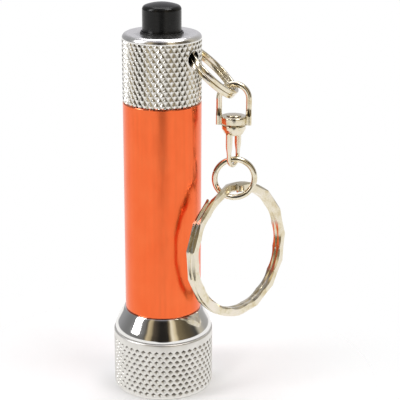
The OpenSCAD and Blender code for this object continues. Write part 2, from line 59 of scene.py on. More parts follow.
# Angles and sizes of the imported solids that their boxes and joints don't state
CHAIN_AZIMUTH = math.radians(-7)
SPLIT_SLOPE = math.radians(43)
HOLE_ANGLE = math.radians(31)
HOLE_D = 3.2
KEY_YAW, KEY_LEAN = math.radians(51), math.radians(5)
EYE_YAW = math.radians(64)
JUMP_YAW = math.radians(7)
THREAD_PITCH = 0.75

SEAM = 0.05
LEDS = 5

# Counts and steps of what only the meshes show
BEZEL_COLUMNS, BEZEL_ROWS = 46, 10
CAP_COLUMNS, CAP_ROWS = 40, 13
KEY_CUTS = 15
PLATE_STEPS, CUP_STEPS = 160, 72
PLATE_INSET = 0.01
LEAD_REACH = 1.27
TINY = 1e-6


# ---- Places and sizes read from the frame ----

def extent(node):
    """Lowest and highest corner of a CAD node, in millimetres."""
    low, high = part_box(node)
    return low / MM, high / MM


def corners(node):
    """A CAD node's vertices, in millimetres."""
    mesh = frame["nodes"][node].data
    co = np.empty(len(mesh.vertices) * 3)
    mesh.vertices.foreach_get("co", co)
    return co.reshape(-1, 3) / MM


def radii(node, low=-1e3, high=1e3):
    """Smallest and largest distance from the torch's axis among vertices between two heights."""
    co = corners(node)
    co = co[(co[:, 2] >= low) & (co[:, 2] <= high)]
    r = np.hypot(co[:, 0], co[:, 1])
    return float(r.min()), float(r.max())


def radii_at(node, height, reach=0.01):
    """Smallest and largest distance from the torch's axis among vertices near a height."""
    return radii(node, height - reach, height + reach)


def pivot(joint):
    """Where a joint's axis passes, in millimetres."""
    return Vector(JOINTS[joint]["pos_m"]) / MM


def chain_frame(height, shift=0.0):
    """The frame in which the chain hangs: X points away from the torch."""
    p = pivot("bow_swing")
    reach = math.hypot(p.x, p.y) + shift
    return Matrix.Rotation(CHAIN_AZIMUTH, 4, "Z") @ Matrix.Translation((reach, 0, height))


# ---- Curves and meshes ----

def clamp(value):
    """A value kept between 0 and 1."""
    return min(1.0, max(0.0, value))


def eased(share):
    """A share from 0 to 1, with a soft start and end."""
    return share * share * (3 - 2 * share)


def bend(start, corner, end, share):
    """A point on the curve that leaves start toward a corner and arrives at end from it."""
    return tuple(start * (1 - share) ** 2 + corner * 2 * share * (1 - share) + end * share * share)


def placed(name, data):
    """A new object in the scene."""
    thing = bpy.data.objects.new(name, data)
    bpy.context.scene.collection.objects.link(thing)
    return thing


def mesh_from(name, verts, faces):
    """A mesh from points in millimetres."""
    mesh = bpy.data.meshes.new(name)
    mesh.from_pydata([tuple(c * MM for c in v) for v in verts], [], faces)
    mesh.update()
    return mesh


def make_piece(name, part, body, stands_for, material, sharp=38, place=None):
    """A piece from (verts, faces), riding on a body in place of some CAD nodes."""
    verts, faces = moved(part, place) if place is not None else part
    mesh = mesh_from(name, verts, faces)
    piece = placed(name, mesh)
    mesh.shade_smooth()
    mesh.set_sharp_from_angle(angle=math.radians(sharp))
    mesh.materials.append(material)
    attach(piece, body)
    if stands_for:
        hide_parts(*stands_for)
    return piece


def vertex_values(piece, name, values):
    """Stores a number for each vertex, for the material to read."""
    layer = piece.data.attributes.new(name, "FLOAT", "POINT")
    layer.data.foreach_set("value", np.array(values, np.float32))


def joined(*parts):
    """Several (verts, faces) as one."""
    verts, faces = [], []
    for part_verts, part_faces in parts:
        start = len(verts)
        verts += list(part_verts)
        faces += [tuple(i + start for i in face) for face in part_faces]
    return verts, faces


def moved(part, matrix):
    """A part of (verts, faces) in another place."""
    verts, faces = part
    return [matrix @ Vector(v) for v in verts], faces


def arc(centre, radius, start, end, steps=6):
    """Points (r, z) on an arc, from angle start to end in degrees."""
    points = []
    for i in range(steps + 1):
        a = math.radians(start + (end - start) * i / steps)
        points.append((centre[0] + radius * math.cos(a), centre[1] + radius * math.sin(a)))
    return points


def rounded(points, radius, steps=5):
    """A closed outline of (r, z) corners with each corner replaced by a curve. Radius may be a list."""
    out = []
    for i, p in enumerate(points):
        r = radius[i] if isinstance(radius, (list, tuple)) else radius
        before, corner, after = Vector(points[i - 1]), Vector(p), Vector(points[(i + 1) % len(points)])
        if r <= 0:
            out.append(tuple(corner))
            continue
        back, on = before - corner, after - corner
        r = min(r, back.length * 0.49, on.length * 0.49)
        start, end = corner + back.normalized() * r, corner + on.normalized() * r
        out += [bend(start, corner, end, k / steps) for k in range(steps + 1)]
    return out


def creased(quad, verts):
    """A quad as two triangles that meet along its flatter diagonal, or as it is where it is level."""
    r = [math.hypot(verts[v][0], verts[v][1]) for v in quad]
    a, b, c, d = quad
    if max(r) - min(r) < TINY:
        return [(a, b, c, d)]
    if abs(r[0] - r[2]) < abs(r[1] - r[3]):
        return [(a, b, c), (a, c, d)]
    return [(a, b, d), (b, c, d)]


def lathe(outline, steps=192, closed=True, relief=None):
    """An outline of (radius, height) points turned round Z, counterclockwise for a solid. Relief
    gives how far a point is pushed inward, from its step round and its place in the outline."""
    verts, rows = [], []
    for k, (r, z) in enumerate(outline):
        if r < TINY:
            verts.append((0, 0, z))
            rows.append([len(verts) - 1] * steps)
            continue
        row = []
        for i in range(steps):
            a = TURN * i / steps
            rr = r - (relief(i, k) if relief else 0)
            verts.append((rr * math.cos(a), rr * math.sin(a), z))
            row.append(len(verts) - 1)
        rows.append(row)
    faces = []
    for k in range(len(outline) if closed else len(outline) - 1):
        low, high = rows[k], rows[(k + 1) % len(outline)]
        for i in range(steps):
            j = (i + 1) % steps
            quad = tuple(dict.fromkeys((low[i], low[j], high[j], high[i])))
            faces += creased(quad, verts) if relief and len(quad) == 4 else [quad]
    return verts, faces


def skin(stations):
    """Faces over a row of rings of points, with flat ends."""
    n = len(stations[0])
    verts = [p for ring in stations for p in ring]
    faces = []
    for a in range(0, len(verts) - n, n):
        for k in range(n):
            m = (k + 1) % n
            faces.append((a + k, a + m, a + n + m, a + n + k))
    faces.append(tuple(reversed(range(n))))
    faces.append(tuple(range(len(verts) - n, len(verts))))
    return verts, faces


def rod_section(width, height, corner, sides=5):
    """Points of a bar's section with rounded corners, in its own (across, up) plane."""
    w, h = width / 2, height / 2
    return rounded([(-w, -h), (w, -h), (w, h), (-w, h)], corner, sides)


def round_section(diameter, count=24):
    """Points of a round wire's section."""
    return [(diameter / 2 * math.cos(TURN * k / count), diameter / 2 * math.sin(TURN * k / count))
            for k in range(count)]


def on_line(point, across, up, section):
    """A section's points at a place along a path, with its two directions there."""
    return [tuple(point + across * a + up * b) for a, b in section]


def hairpin(half, end_z, bend_z, first_angle, leg_steps, bend_steps):
    """A path along one straight leg, round half a circle and back along the other leg, as points
    with the direction that faces outward there. The first angle is 0 or pi, and picks the side."""
    def leg(side, shares):
        return [(Vector((side * half, 0, end_z + (bend_z - end_z) * f)), Vector((side, 0, 0)))
                for f in shares]

    side = round(math.cos(first_angle))
    shares = [k / leg_steps for k in range(leg_steps + 1)]
    turn = []
    for k in range(1, bend_steps):
        a = first_angle + math.pi * k / bend_steps
        out = Vector((math.cos(a), 0, math.sin(a)))
        turn.append((out * half + Vector((0, 0, bend_z)), out))
    return leg(side, shares) + turn + leg(-side, reversed(shares))


# ---- Materials ----

class Shader:
    """A node material under construction, with its object coordinates in millimetres."""

    def __init__(self, name, **values):
        self.material = bpy.data.materials.new(name)
        self.material.use_nodes = True
        self.nodes = self.material.node_tree.nodes
        self.links = self.material.node_tree.links
        self.bsdf = self.nodes["Principled BSDF"]
        for socket, value in values.items():
            self.bsdf.inputs[socket.replace("_", " ")].default_value = value
        self.space = self.nodes.new("ShaderNodeTexCoord").outputs["Object"]

    def scaled(self, x, y, z):
        """Object coordinates with a scale along each axis, in features per millimetre."""
        node = self.nodes.new("ShaderNodeMapping")
        node.inputs["Scale"].default_value = (x / MM, y / MM, z / MM)
        self.links.new(self.space, node.inputs["Vector"])
        return node.outputs["Vector"]

    def noise(self, scale, detail=3.0, rough=0.55):
        """Noise with one scale, or one along each axis, in features per millimetre."""
        node = self.nodes.new("ShaderNodeTexNoise")
        node.inputs["Scale"].default_value = 1.0
        node.inputs["Detail"].default_value = detail
        node.inputs["Roughness"].default_value = rough
        scale = scale if isinstance(scale, tuple) else (scale,) * 3
        self.links.new(self.scaled(*scale), node.inputs["Vector"])
        return node.outputs["Fac"]

    def attribute(self, name):
        """The numbers stored on a mesh by vertex_values."""
        node = self.nodes.new("ShaderNodeAttribute")
        node.attribute_name = name
        return node.outputs["Fac"]

    def ramp(self, value, *stops):
        """A value mapped to grey or colour through stops of (place, colour)."""
        node = self.nodes.new("ShaderNodeValToRGB")
        points = node.color_ramp.elements
        while len(points) < len(stops):
            points.new(0.5)
        for point, (place, colour) in zip(points, stops):
            point.position = place
            point.color = (*colour, 1) if isinstance(colour, tuple) else (colour,) * 3 + (1,)
        self.links.new(value, node.inputs["Fac"])
        return node.outputs["Color"]

    def times(self, a, b):
        """Product of two colours."""
        node = self.nodes.new("ShaderNodeMix")
        node.data_type, node.blend_type = "RGBA", "MULTIPLY"
        node.inputs["Factor"].default_value = 1.0
        self.links.new(a, node.inputs["A"])
        self.links.new(b, node.inputs["B"])
        return node.outputs["Result"]

    def plus(self, a, b, share):
        """One value plus a share of another."""
        node = self.nodes.new("ShaderNodeMath")
        node.operation = "MULTIPLY_ADD"
        self.links.new(b, node.inputs[0])
        node.inputs[1].default_value = share
        self.links.new(a, node.inputs[2])
        return node.outputs[0]

    def colour(self, socket):
        """Links the base colour."""
        self.links.new(socket, self.bsdf.inputs["Base Color"])

    def roughness(self, value, low, high):
        """Roughness from low to high as a texture goes from dark to light."""
        self.links.new(self.ramp(value, (0.3, low), (0.7, high)), self.bsdf.inputs["Roughness"])

    def bump(self, height, strength, depth_mm):
        """Links a bump whose full height is a depth in millimetres."""
        node = self.nodes.new("ShaderNodeBump")
        node.inputs["Strength"].default_value = strength
        node.inputs["Distance"].default_value = depth_mm * MM
        self.links.new(height, node.inputs["Height"])
        self.links.new(node.outputs["Normal"], self.bsdf.inputs["Normal"])


def plated(name, light, dark, painted_shade_colour, low_rough, high_rough, grain):
    """Plating over a knurl: cloudy, with painted shade darkening its recesses, and a fine grain."""
    s = Shader(name, Metallic=1.0)
    cloud = s.ramp(s.noise(0.35, 4), (0.35, dark), (0.65, light))
    # Painted shade: the colour moves toward the shade colour as the stored pit shade rises, most in the
    # knurl's recesses.
    painted_pit_shade = s.ramp(s.attribute("painted_pit_shade"), (0.0, (1.0, 1.0, 1.0)), (0.55, painted_shade_colour))
    s.colour(s.times(cloud, painted_pit_shade))
    s.roughness(s.noise(1.6, 3), low_rough, high_rough)
    s.bump(s.noise(grain, 2), 0.25, 0.004)
    return s.material


def satin_chrome():
    """The bezel's plating, with a dark colour for the painted shade in its pits."""
    light, dark, painted_shade_colour = (0.845, 0.83, 0.80), (0.785, 0.77, 0.735), (0.22, 0.205, 0.185)
    return plated("satin_chrome", light, dark, painted_shade_colour, 0.34, 0.44, 9)


def bright_chrome():
    """The tail cap's plating, with a pale colour for the painted shade between its studs."""
    light, dark, painted_shade_colour = (0.93, 0.925, 0.91), (0.88, 0.87, 0.855), (0.80, 0.785, 0.74)
    return plated("bright_chrome", light, dark, painted_shade_colour, 0.20, 0.29, 7)


def mirror_chrome():
    """The bell's polish: smudged, with slow ripples and faint turning marks."""
    s = Shader("mirror_chrome", Metallic=1.0)
    s.colour(s.ramp(s.noise(0.12, 3), (0.3, (0.84, 0.835, 0.82)), (0.7, (0.90, 0.895, 0.885))))
    s.roughness(s.noise(0.28, 5, 0.65), 0.06, 0.13)
    ripple = s.plus(s.noise((0.35, 0.35, 0.12), 2), s.noise((1.2, 1.2, 14), 2), 0.06)
    s.bump(ripple, 0.26, 0.05)
    return s.material


def orange_anodised():
    """Bright dye over drawn aluminium: faint lengthways drawing lines and fine turning marks."""
    s = Shader("orange_anodised", Metallic=1.0)
    cloud = s.ramp(s.noise(0.16, 3), (0.3, (0.945, 0.160, 0.046)), (0.7, (0.970, 0.190, 0.060)))
    drawn = s.ramp(s.noise((1.6, 1.6, 0.02), 3, 0.5), (0.25, (0.96, 0.93, 0.92)), (0.6, (1.0, 1.0, 1.0)))
    bare = s.ramp(s.attribute("bare"), (0.25, (1.0, 1.0, 1.0)), (0.9, (0.97, 2.4, 5.0)))
    s.colour(s.times(s.times(cloud, drawn), bare))
    s.roughness(s.noise((1.4, 1.4, 0.25), 4), 0.17, 0.25)
    s.bump(s.plus(s.noise((0.5, 0.5, 10), 3), s.noise((3.0, 3.0, 0.05), 3), 0.4), 0.10, 0.005)
    return s.material


def nickel_wire():
    """Bright nickel over brass: warm, with cloudy olive and rosy patches and soft dents."""
    s = Shader("nickel_wire", Metallic=1.0)
    olive, warm, rosy = (0.66, 0.56, 0.36), (0.82, 0.755, 0.60), (0.88, 0.81, 0.72)
    s.colour(s.ramp(s.noise(0.45, 4, 0.6), (0.30, olive), (0.48, warm), (0.72, rosy)))
    s.roughness(s.noise(0.9, 4), 0.12, 0.22)
    s.bump(s.noise(1.4, 3), 0.20, 0.02)
    return s.material


def black_plastic(name, base=0.018, rough=0.36):
    """Moulded black plastic with a fine spark-eroded grain and a little dust."""
    s = Shader(name, Specular_IOR_Level=0.28)
    dust = s.ramp(s.noise(5, 4, 0.7), (0.58, (base,) * 3), (0.85, (base * 2.6,) * 3))
    s.colour(dust)
    s.roughness(s.noise(1.1, 4), rough - 0.05, rough + 0.08)
    s.bump(s.noise(10, 3), 0.12, 0.008)
    return s.material


def moulded(name, light, dark, rough, scale=0.8, **values):
    """A light moulded or pressed material with cloudy colour and a fine grain."""
    s = Shader(name, **values)
    s.colour(s.ramp(s.noise(scale, 4), (0.3, dark), (0.7, light)))
    s.roughness(s.noise(scale * 3, 3), rough - 0.05, rough + 0.07)
    s.bump(s.noise(scale * 8, 3), 0.2, 0.008)
    return s.material


def metal(name, light, dark, rough):
    """A pressed or drawn metal."""
    return moulded(name, light, dark, rough, Metallic=1.0)


def clear_glass(name, tint, ior, rough):
    """Clear material with faint polishing haze."""
    s = Shader(name, Transmission_Weight=1.0, IOR=ior)
    s.colour(s.ramp(s.noise(0.4, 3), (0.3, tint), (0.7, (1.0, 1.0, 1.0))))
    s.roughness(s.noise(1.0, 4), rough, rough + 0.04)
    return s.material


# ---- Head ----

def diamond(i, k, columns, first, step_z, half_width, half_height):
    """How far inside a diamond of a staggered lattice a grid point lies, from 0 to 1. Columns are
    counted in steps round, and rows in steps of height from the first."""
    best = 0.0
    row = (k - first) / step_z
    for near in (math.floor(row), math.ceil(row)):
        shift = (near % 2) * 0.5
        u = (i / columns - shift) % 1.0
        u = min(u, 1 - u) * columns
        v = abs(row - near) * step_z
        best = max(best, 1 - u / half_width - v / half_height)
    return best


def bezel(material):
    """The knurled front ring: staggered diamond pits between two plain bands."""
    high = extent("bezel_ring")[1]
    radius, top = high.x, high.z
    window = radii_at("bezel_ring", 0, 0.1)[0]
    bore = radii_at("bezel_ring", top, 0.1)[0]
    lip = extent("lens_seal")[0].z
    around, per_row, margin = 12, 8, 5
    first_z, row_pitch, depth = 1.15, 1.0, 0.34
    half_width, half_height, wall_slope = 4.7, 3.5, 1.25
    # lit_share: the part of the painted shade kept in the lower, lit half of each pit
    rim, shoulder, chamfer, lit_share = 0.55, 0.35, 0.1, 0.2
    steps = (BEZEL_ROWS - 1) * per_row
    start = [(window, lip), (window + 0.15, 0.12), (window + 0.3, 0)]
    start += arc((radius - rim, rim), rim, -90, 0, 6)
    zone = [(radius, first_z + row_pitch / per_row * k) for k in range(-margin, steps + margin + 1)]
    end = arc((radius - shoulder, top - shoulder), shoulder, 0, 90, 5)
    end += [(bore + chamfer, top), (bore, top - chamfer), (bore, lip)]
    outline = start + zone + end
    first = len(start) + margin

    def relief(i, k):
        if not 0 <= round((k - first) / per_row) <= BEZEL_ROWS - 1:
            return 0.0
        return depth * clamp(wall_slope * diamond(i, k, around, first, per_row, half_width, half_height))

    def shade(i, k):
        """A pit's painted shade: its depth as a share, with the lower half of each pit left bright, as the
        side that faces the light.
        """
        row = (k - first) / per_row
        return relief(i, k) / depth * (1.0 if row > round(row) - 0.02 else lit_share)

    count = BEZEL_COLUMNS * around
    part = lathe(outline, count, relief=relief)
    piece = make_piece("bezel", part, "head", ["bezel_ring"], material, sharp=60)
    # The pits' painted shade, stored for the plating to darken them by.
    vertex_values(piece, "painted_pit_shade", [shade(i, k) for k in range(len(outline)) for i in range(count)])


def bell(material):
    """The mirror bell: a short foot, a rounded corner and a straight cone up to the barrel."""
    low, high = extent("head_bell")
    top = high.z
    bezel_top = extent("bezel_ring")[1].z
    foot_z = bezel_top + SEAM
    foot_r = radii("head_bell", bezel_top, bezel_top + 0.2)[1]
    bore, crown_r = radii_at("head_bell", top)
    pocket_r, skirt_r = radii_at("head_bell", low.z, 0.1)
    ledge = extent("led_board")[1].z + SEAM
    corner_h, below, along, chamfer = 0.95, 0.7, 0.72, 0.1
    corner, crown = Vector((foot_r, foot_z + corner_h)), Vector((crown_r, top))
    start, end = corner - Vector((0, below)), crown + (corner - crown) * along
    outline = [(skirt_r, low.z), (skirt_r, foot_z), (foot_r - chamfer, foot_z), (foot_r, foot_z + chamfer)]
    outline += [bend(start, corner, end, k / 24) for k in range(25)]
    outline += [tuple(end + (crown - end) * f) for f in (0.25, 0.5, 0.75, 0.95)]
    outline += [(crown_r - 0.03, top - 0.01), (crown_r - 0.08, top), (bore, top)]
    outline += [(bore, ledge), (pocket_r, ledge), (pocket_r, low.z)]
    make_piece("bell", lathe(outline, 256), "head", ["head_bell"], material)


def front_glass(material):
    """The flat lens with eased edges."""
    low, high = extent("lens")
    edge = 0.12
    outline = rounded([(0, low.z), (high.x, low.z), (high.x, high.z), (0, high.z)], [0, edge, edge, 0], 4)
    part = lathe(outline, 160, closed=False)
    make_piece("front_glass", part, "head", ["lens"], material)


def led_places():
    """Each LED's number, its axis in the plane of the board, and the height of its tip."""
    places = []
    for i in range(1, LEDS + 1):
        tip = extent(f"led_{i}")[0].z
        points = corners(f"led_{i}")
        x, y = points[points[:, 2] < tip + 0.02].mean(0)[:2]
        places.append((i, Vector((x, y, 0)), tip))
    return places


def reflector(material):
    """The metallised plate: a flat face with a parabolic cup round each LED, inside a short wall."""
    low, high = extent("reflector")
    outer, face = high.x, low.z
    mouth_r, floor_r, depth = 2.85, 2.56, 3.2
    wall_t, wall_start, corner = 0.5, 0.3, 0.05
    places = [place for _, place, _ in led_places()]
    plate = plate_round_cups(places, mouth_r, outer - PLATE_INSET, face)
    wall = lathe([(outer - PLATE_INSET, face), (outer, face + corner), (outer, high.z),
                  (outer - wall_t, high.z), (outer - wall_t, face + wall_start)], PLATE_STEPS, closed=False)
    cups = [cup(place, face, mouth_r, floor_r, depth) for place in places]
    make_piece("reflector_cups", joined(plate, wall, *cups), "light_engine",
               ["reflector"], material, sharp=30)


def cup(place, face, mouth_r, floor_r, depth):
    """A parabolic cup that opens downward at the face."""
    steps = 12
    outline = [(mouth_r + (floor_r - mouth_r) * math.sqrt(k / steps), face + depth * k / steps)
               for k in range(steps + 1)]
    return moved(lathe(outline, CUP_STEPS, closed=False), Matrix.Translation(place))


def plate_round_cups(places, cup_r, outer, face):
    """The flat face between the cups, as a mesh cut by their mouths."""
    mesh = bmesh.new()
    edges = []
    for centre, radius, count in [(Vector(), outer, PLATE_STEPS)] + [(p, cup_r, CUP_STEPS) for p in places]:
        ring = [mesh.verts.new((centre.x + radius * math.cos(TURN * k / count),
                                centre.y + radius * math.sin(TURN * k / count), face)) for k in range(count)]
        edges += [mesh.edges.new((ring[k], ring[(k + 1) % count])) for k in range(count)]
    bmesh.ops.triangle_fill(mesh, use_beauty=True, edges=edges, normal=(0, 0, -1))
    mesh.verts.index_update()
    verts = [tuple(v.co) for v in mesh.verts]
    faces = [tuple(v.index for v in f.verts) for f in mesh.faces]
    mesh.free()
    return verts, faces


def led_bodies(epoxy, steel, phosphor):
    """Each LED: a clear domed body, and inside it the lead frame and the die."""
    board = extent("led_board")[0].z
    for i, place, tip in led_places():
        at_led = Matrix.Translation(place)
        facing = at_led @ Matrix.Rotation(math.atan2(place.y, place.x), 4, "Z")
        anvil_z = tip + 4.2
        body = moved(led_dome(tip, board), at_led)
        make_piece(f"led_{i}_epoxy", body, "light_engine", [f"led_{i}"], epoxy)
        leads = moved(led_leads(anvil_z, board), facing)
        make_piece(f"led_{i}_leads", leads, "light_engine", [], steel)
        chip = moved(led_die(anvil_z), at_led)
        make_piece(f"led_{i}_die", chip, "light_engine", [], phosphor)


def led_dome(tip, board):
    """The clear body: a dome, straight sides and a flange against the board."""
    radius, flange_r, flange_t, edge = 2.5, 2.8, 1.0, 0.05
    flange_z = board - flange_t
    dome = [(0, tip)] + arc((0, tip + radius), radius, -90, 0, 14)[1:]
    return lathe(dome + [(radius, flange_z), (flange_r - 0.08, flange_z), (flange_r, flange_z + 0.08),
                         (flange_r, board - edge), (flange_r - edge, board), (0, board)], 72, closed=False)


def led_leads(anvil_z, board):
    """The anvil with its bowl, and the bond post beside it, on X and Y of the LED."""
    rod, anvil_r, post_r, end = 0.28, 0.62, 0.26, board + 1.5
    anvil = lathe([(0.55, anvil_z), (anvil_r, anvil_z + 0.04), (anvil_r, anvil_z + 1.2), (rod, anvil_z + 1.7),
                   (rod, end), (0, end)], 24, closed=False)
    bowl = lathe([(0, anvil_z + 0.3), (0.3, anvil_z + 0.28), (0.55, anvil_z)], 24, closed=False)
    post = lathe([(0, anvil_z + 0.15), (post_r, anvil_z + 0.15), (post_r, end), (0, end)], 16, closed=False)
    verts, faces = joined(moved(joined(anvil, bowl), Matrix.Translation((0, -LEAD_REACH, 0))),
                          moved(post, Matrix.Translation((0, LEAD_REACH, 0))))
    return [drawn_in(v, board - 1.5) for v in verts], faces


def drawn_in(point, height):
    """A lead's point, moved toward the axis below a height: the anvil onto it, the post less far."""
    share = clamp(height - point.z)
    step = LEAD_REACH if point.y < 0 else 0.35
    return Vector((point.x, point.y - math.copysign(share * step, point.y), point.z))


def led_die(anvil_z):
    """The die under its drop of phosphor, in the anvil's bowl."""
    return lathe([(0, anvil_z + 0.05), (0.3, anvil_z + 0.06), (0.5, anvil_z + 0.12), (0.3, anvil_z + 0.26),
                  (0, anvil_z + 0.28)], 20, closed=False)


# ---- Barrel ----

def thread_wave(z, turns):
    """Height of a rounded V thread at a point z up and turned round by a share of a turn."""
    f = (z / THREAD_PITCH - turns) % 1.0
    return clamp(2.4 * (0.5 - abs(f - 0.5)) - 0.1)


def o_ring_groove(root, groove, seam, side):
    """The groove beside a seam, from the seam outward along the neck."""
    near, far, corner = 0.15, 0.67, 0.01
    return [(root, seam), (root, seam + side * (near - corner)), (groove, seam + side * near),
            (groove, seam + side * far), (root, seam + side * (far + corner)), (root, seam + side * 0.75)]


def barrel(material):
    """The dyed tube, with a cut helical thread on each neck and a worn bare edge at each end."""
    low, high = extent("barrel")
    radius = high.x
    seam_low = extent("head_bell")[1].z + SEAM
    seam_high = extent("tail_cap")[0].z - SEAM
    bore, root = radii_at("barrel", low.z)
    crest = radii("barrel", low.z + 0.5, seam_low - 1.2)[1]
    groove, edge, run_out, plain_l = crest - 0.48, 0.15, 0.4, 0.8
    near = edge + 0.04
    span = seam_high - seam_low - 2 * near
    steps, fine = 144, THREAD_PITCH / 8

    def neck(z0, z1):
        count = max(2, round((z1 - z0) / fine))
        return [(crest, z0 + (z1 - z0) * k / count) for k in range(count + 1)]

    front = neck(low.z, seam_low - SEAM - plain_l)
    tail = neck(seam_high + plain_l, high.z)
    eased_off = edge * 0.3
    body = [(radius - edge, seam_low), (radius - eased_off, seam_low + eased_off), (radius, seam_low + edge)]
    body += [(radius, seam_low + near + span * k / 24) for k in range(25)]
    body += [(radius, seam_high - edge), (radius - eased_off, seam_high - eased_off)]
    body += [(radius - edge, seam_high)]
    outline = front + o_ring_groove(root, groove, seam_low, -1)[::-1] + body
    outline += o_ring_groove(root, groove, seam_high, 1) + tail + [(bore, high.z), (bore, low.z)]
    threaded = {}
    for neck_points, first in ((front, 0), (tail, len(outline) - 2 - len(tail))):
        z0, z1 = neck_points[0][1], neck_points[-1][1]
        for k, (_, z) in enumerate(neck_points, first):
            threaded[k] = (z, clamp(min(z - z0, z1 - z) / run_out))

    def relief(i, k):
        if k not in threaded:
            return 0.0
        z, share = threaded[k]
        return (crest - root) * (1 - thread_wave(z, i / steps) * share)

    def worn(r, z):
        """How bare the metal is: all of it in the bore, and most of it at the two outer edges."""
        if r <= bore + 0.01:
            return 1.0
        at_edge = min(abs(z - seam_low), abs(z - seam_high)) < edge * 0.6
        return 0.75 if at_edge and abs(r - radius) < edge * 1.01 else 0.0

    part = lathe(outline, steps, relief=relief)
    piece = make_piece("tube", part, "barrel", ["barrel"], material)
    vertex_values(piece, "bare", [worn(r, z) for r, z in outline for _ in range(steps)])


# ---- Tail cap and button ----

def cap(material):
    """The tail cap: raised diamonds below a polished rounded edge, with two side holes."""
    low, high = extent("tail_cap")
    radius, top = high.x, high.z
    bore = radii_at("tail_cap", low.z)[0]
    upper_bore = radii("tail_cap", low.z + 6.9, top - 1.5)[0]
    hole = radii_at("tail_cap", top)[0]
    around, per_row = 12, 6
    edge, foot, chamfer, depth, stud_slope = 1.0, 0.1, 0.12, 0.25, 1.5
    zone_top, lid_z, step_z = top - 1.22, top - 1.2, low.z + 6.0
    steps, count = CAP_ROWS * per_row, CAP_COLUMNS * around
    dz = (zone_top - low.z - foot) / steps
    start = [(bore, low.z), (radius - 0.35, low.z)]
    zone = [(radius, low.z + foot + dz * k) for k in range(steps + 1)]
    finish = [(radius - 0.01, zone_top + 0.08)]
    finish += arc((radius - edge, top - edge), edge, 0, 90, 16)
    finish += [(hole + chamfer, top), (hole, top - chamfer), (hole, lid_z), (upper_bore, lid_z),
               (upper_bore, step_z), (bore, step_z)]
    outline = start + zone + finish
    first, last = len(start), len(start) + steps
    hole_z = pivot("ring_swing").z

    def plain(i, k):
        """1 where the wall is smooth round a side hole, and 0 away from it."""
        a = TURN * i / count - CHAIN_AZIMUTH
        off = min(abs((a - side * HOLE_ANGLE + math.pi) % TURN - math.pi) for side in (-1, 1)) * radius
        away = math.hypot(off, outline[k][1] - hole_z) - HOLE_D / 2
        return clamp(1.3 - away / 0.35)

    def relief(i, k):
        if not first <= k <= last:
            return 0.0
        stud = diamond(i, k, around, first + per_row // 2, per_row, around / 2, per_row)
        return depth * (1 - min(1.0, stud * stud_slope)) * (1 - plain(i, k))

    part = lathe(outline, count, relief=relief)
    piece = make_piece("cap", part, "tail", ["tail_cap"], material, sharp=60)
    # Painted shade between the studs, as deep as each recess, stored for the plating to darken by.
    vertex_values(piece, "painted_pit_shade", [relief(i, k) / depth for k in range(len(outline)) for i in range(count)])
    drill_side_holes(piece, hole_z, radius)


def drill_side_holes(piece, height, radius):
    """Cuts the two holes for the small split ring."""
    inside, outside = 3, radius + 2
    rod = skin([[(x, y, z) for y, z in round_section(HOLE_D, 48)] for x in (inside, outside)])
    lift = Matrix.Translation((0, 0, height))
    drills = [moved(rod, Matrix.Rotation(CHAIN_AZIMUTH + angle, 4, "Z") @ lift)
              for angle in (-HOLE_ANGLE, HOLE_ANGLE)]
    drill = placed("drill", mesh_from("drill", *joined(*drills)))
    cut = piece.modifiers.new("holes", "BOOLEAN")
    cut.operation, cut.object, cut.solver = "DIFFERENCE", drill, "EXACT"
    result = bpy.data.meshes.new_from_object(piece.evaluated_get(bpy.context.evaluated_depsgraph_get()))
    piece.modifiers.clear()
    piece.data = result
    bpy.data.objects.remove(drill)


def push_button(material):
    """The button: straight sides, a soft shoulder and a low crown."""
    low, high = extent("button")
    top, flange_r = high.z, high.x
    inner, outer = radii_at("button", low.z, 0.1)
    radius = radii("button", top - 1.6, top - 1.5)[1]
    flange_drop, flange_t, side_start = 1.8, 1, 0.2
    flange_z = extent("switch_housing")[1].z - flange_drop
    side_z = flange_z + flange_t + side_start
    shoulder, crown, steps = 0.85, 0.5, 12
    shoulder_z = top - crown - shoulder
    outline = [(0, flange_z), (inner, flange_z), (inner, low.z), (outer, low.z), (outer, flange_z),
               (flange_r, flange_z), (flange_r, flange_z + flange_t), (radius, flange_z + flange_t)]
    outline += [(radius, side_z + (shoulder_z - side_z) * k / 6) for k in range(6)]
    outline += [(radius, shoulder_z - 0.05)]
    outline += arc((radius - shoulder, shoulder_z), shoulder, 0, 72, steps)
    last_r, last_z = outline[-1]
    for k in range(1, steps + 1):
        left = 1 - k / steps
        outline.append((last_r * left, last_z + (top - last_z) * (1 - left ** 2)))
    part = lathe(outline, 128, closed=False)
    make_piece("push_button", part, "button", ["button"], material, sharp=50)


def collar(material):
    """The thin collar that lines the cap's hole, rolled over at its top."""
    low, high = extent("button_collar")
    inner, outer = radii_at("button_collar", high.z)
    foot_r, foot_z = high.x, low.z + 0.2
    outline = rounded([(inner, low.z), (foot_r, low.z), (foot_r, foot_z), (outer, foot_z),
                       (outer, high.z), (inner, high.z)], [0, 0.05, 0.05, 0, 0.07, 0.06])
    make_piece("collar", lathe(outline, 128), "tail", ["button_collar"], material)


# ---- Chain ----

def split_coil(radius, width, thickness, section_at, steps=300):
    """The wire of a split ring of two turns, lower turn first, with a ramp between them. Its
    section, as (across, up) points, may change with the angle."""
    ramp, gap, tip_share, tip_slope = math.radians(30), 0.04, 0.55, 3.0
    whole = 2 * TURN - ramp
    up = Vector((0, 0, 1))
    stations = []
    for s in range(steps + 1):
        a = whole * s / steps
        climb = eased(clamp((a - (TURN - ramp)) / ramp))
        z = (thickness + gap) * (climb - 0.5)
        taper = min(1.0, tip_share + tip_slope * min(a, whole - a) * radius / width / 2)
        rest = (1 - taper) * thickness / 2 * (-1 if s < steps / 2 else 1)
        section = [(x, y * taper + rest) for x, y in section_at(a)]
        across = Vector((math.cos(a), math.sin(a), 0))
        stations.append(on_line(across * radius + up * z, across, up, section))
    return skin(stations)


def scoop(a, count, shift=0.0):
    """1 in the middle of a scooped cut and 0 at the ridges between cuts, for cuts along a ring."""
    f = (a / TURN * count + shift) % 1.0
    return max(0.0, 1 - (2 * f - 1) ** 2)


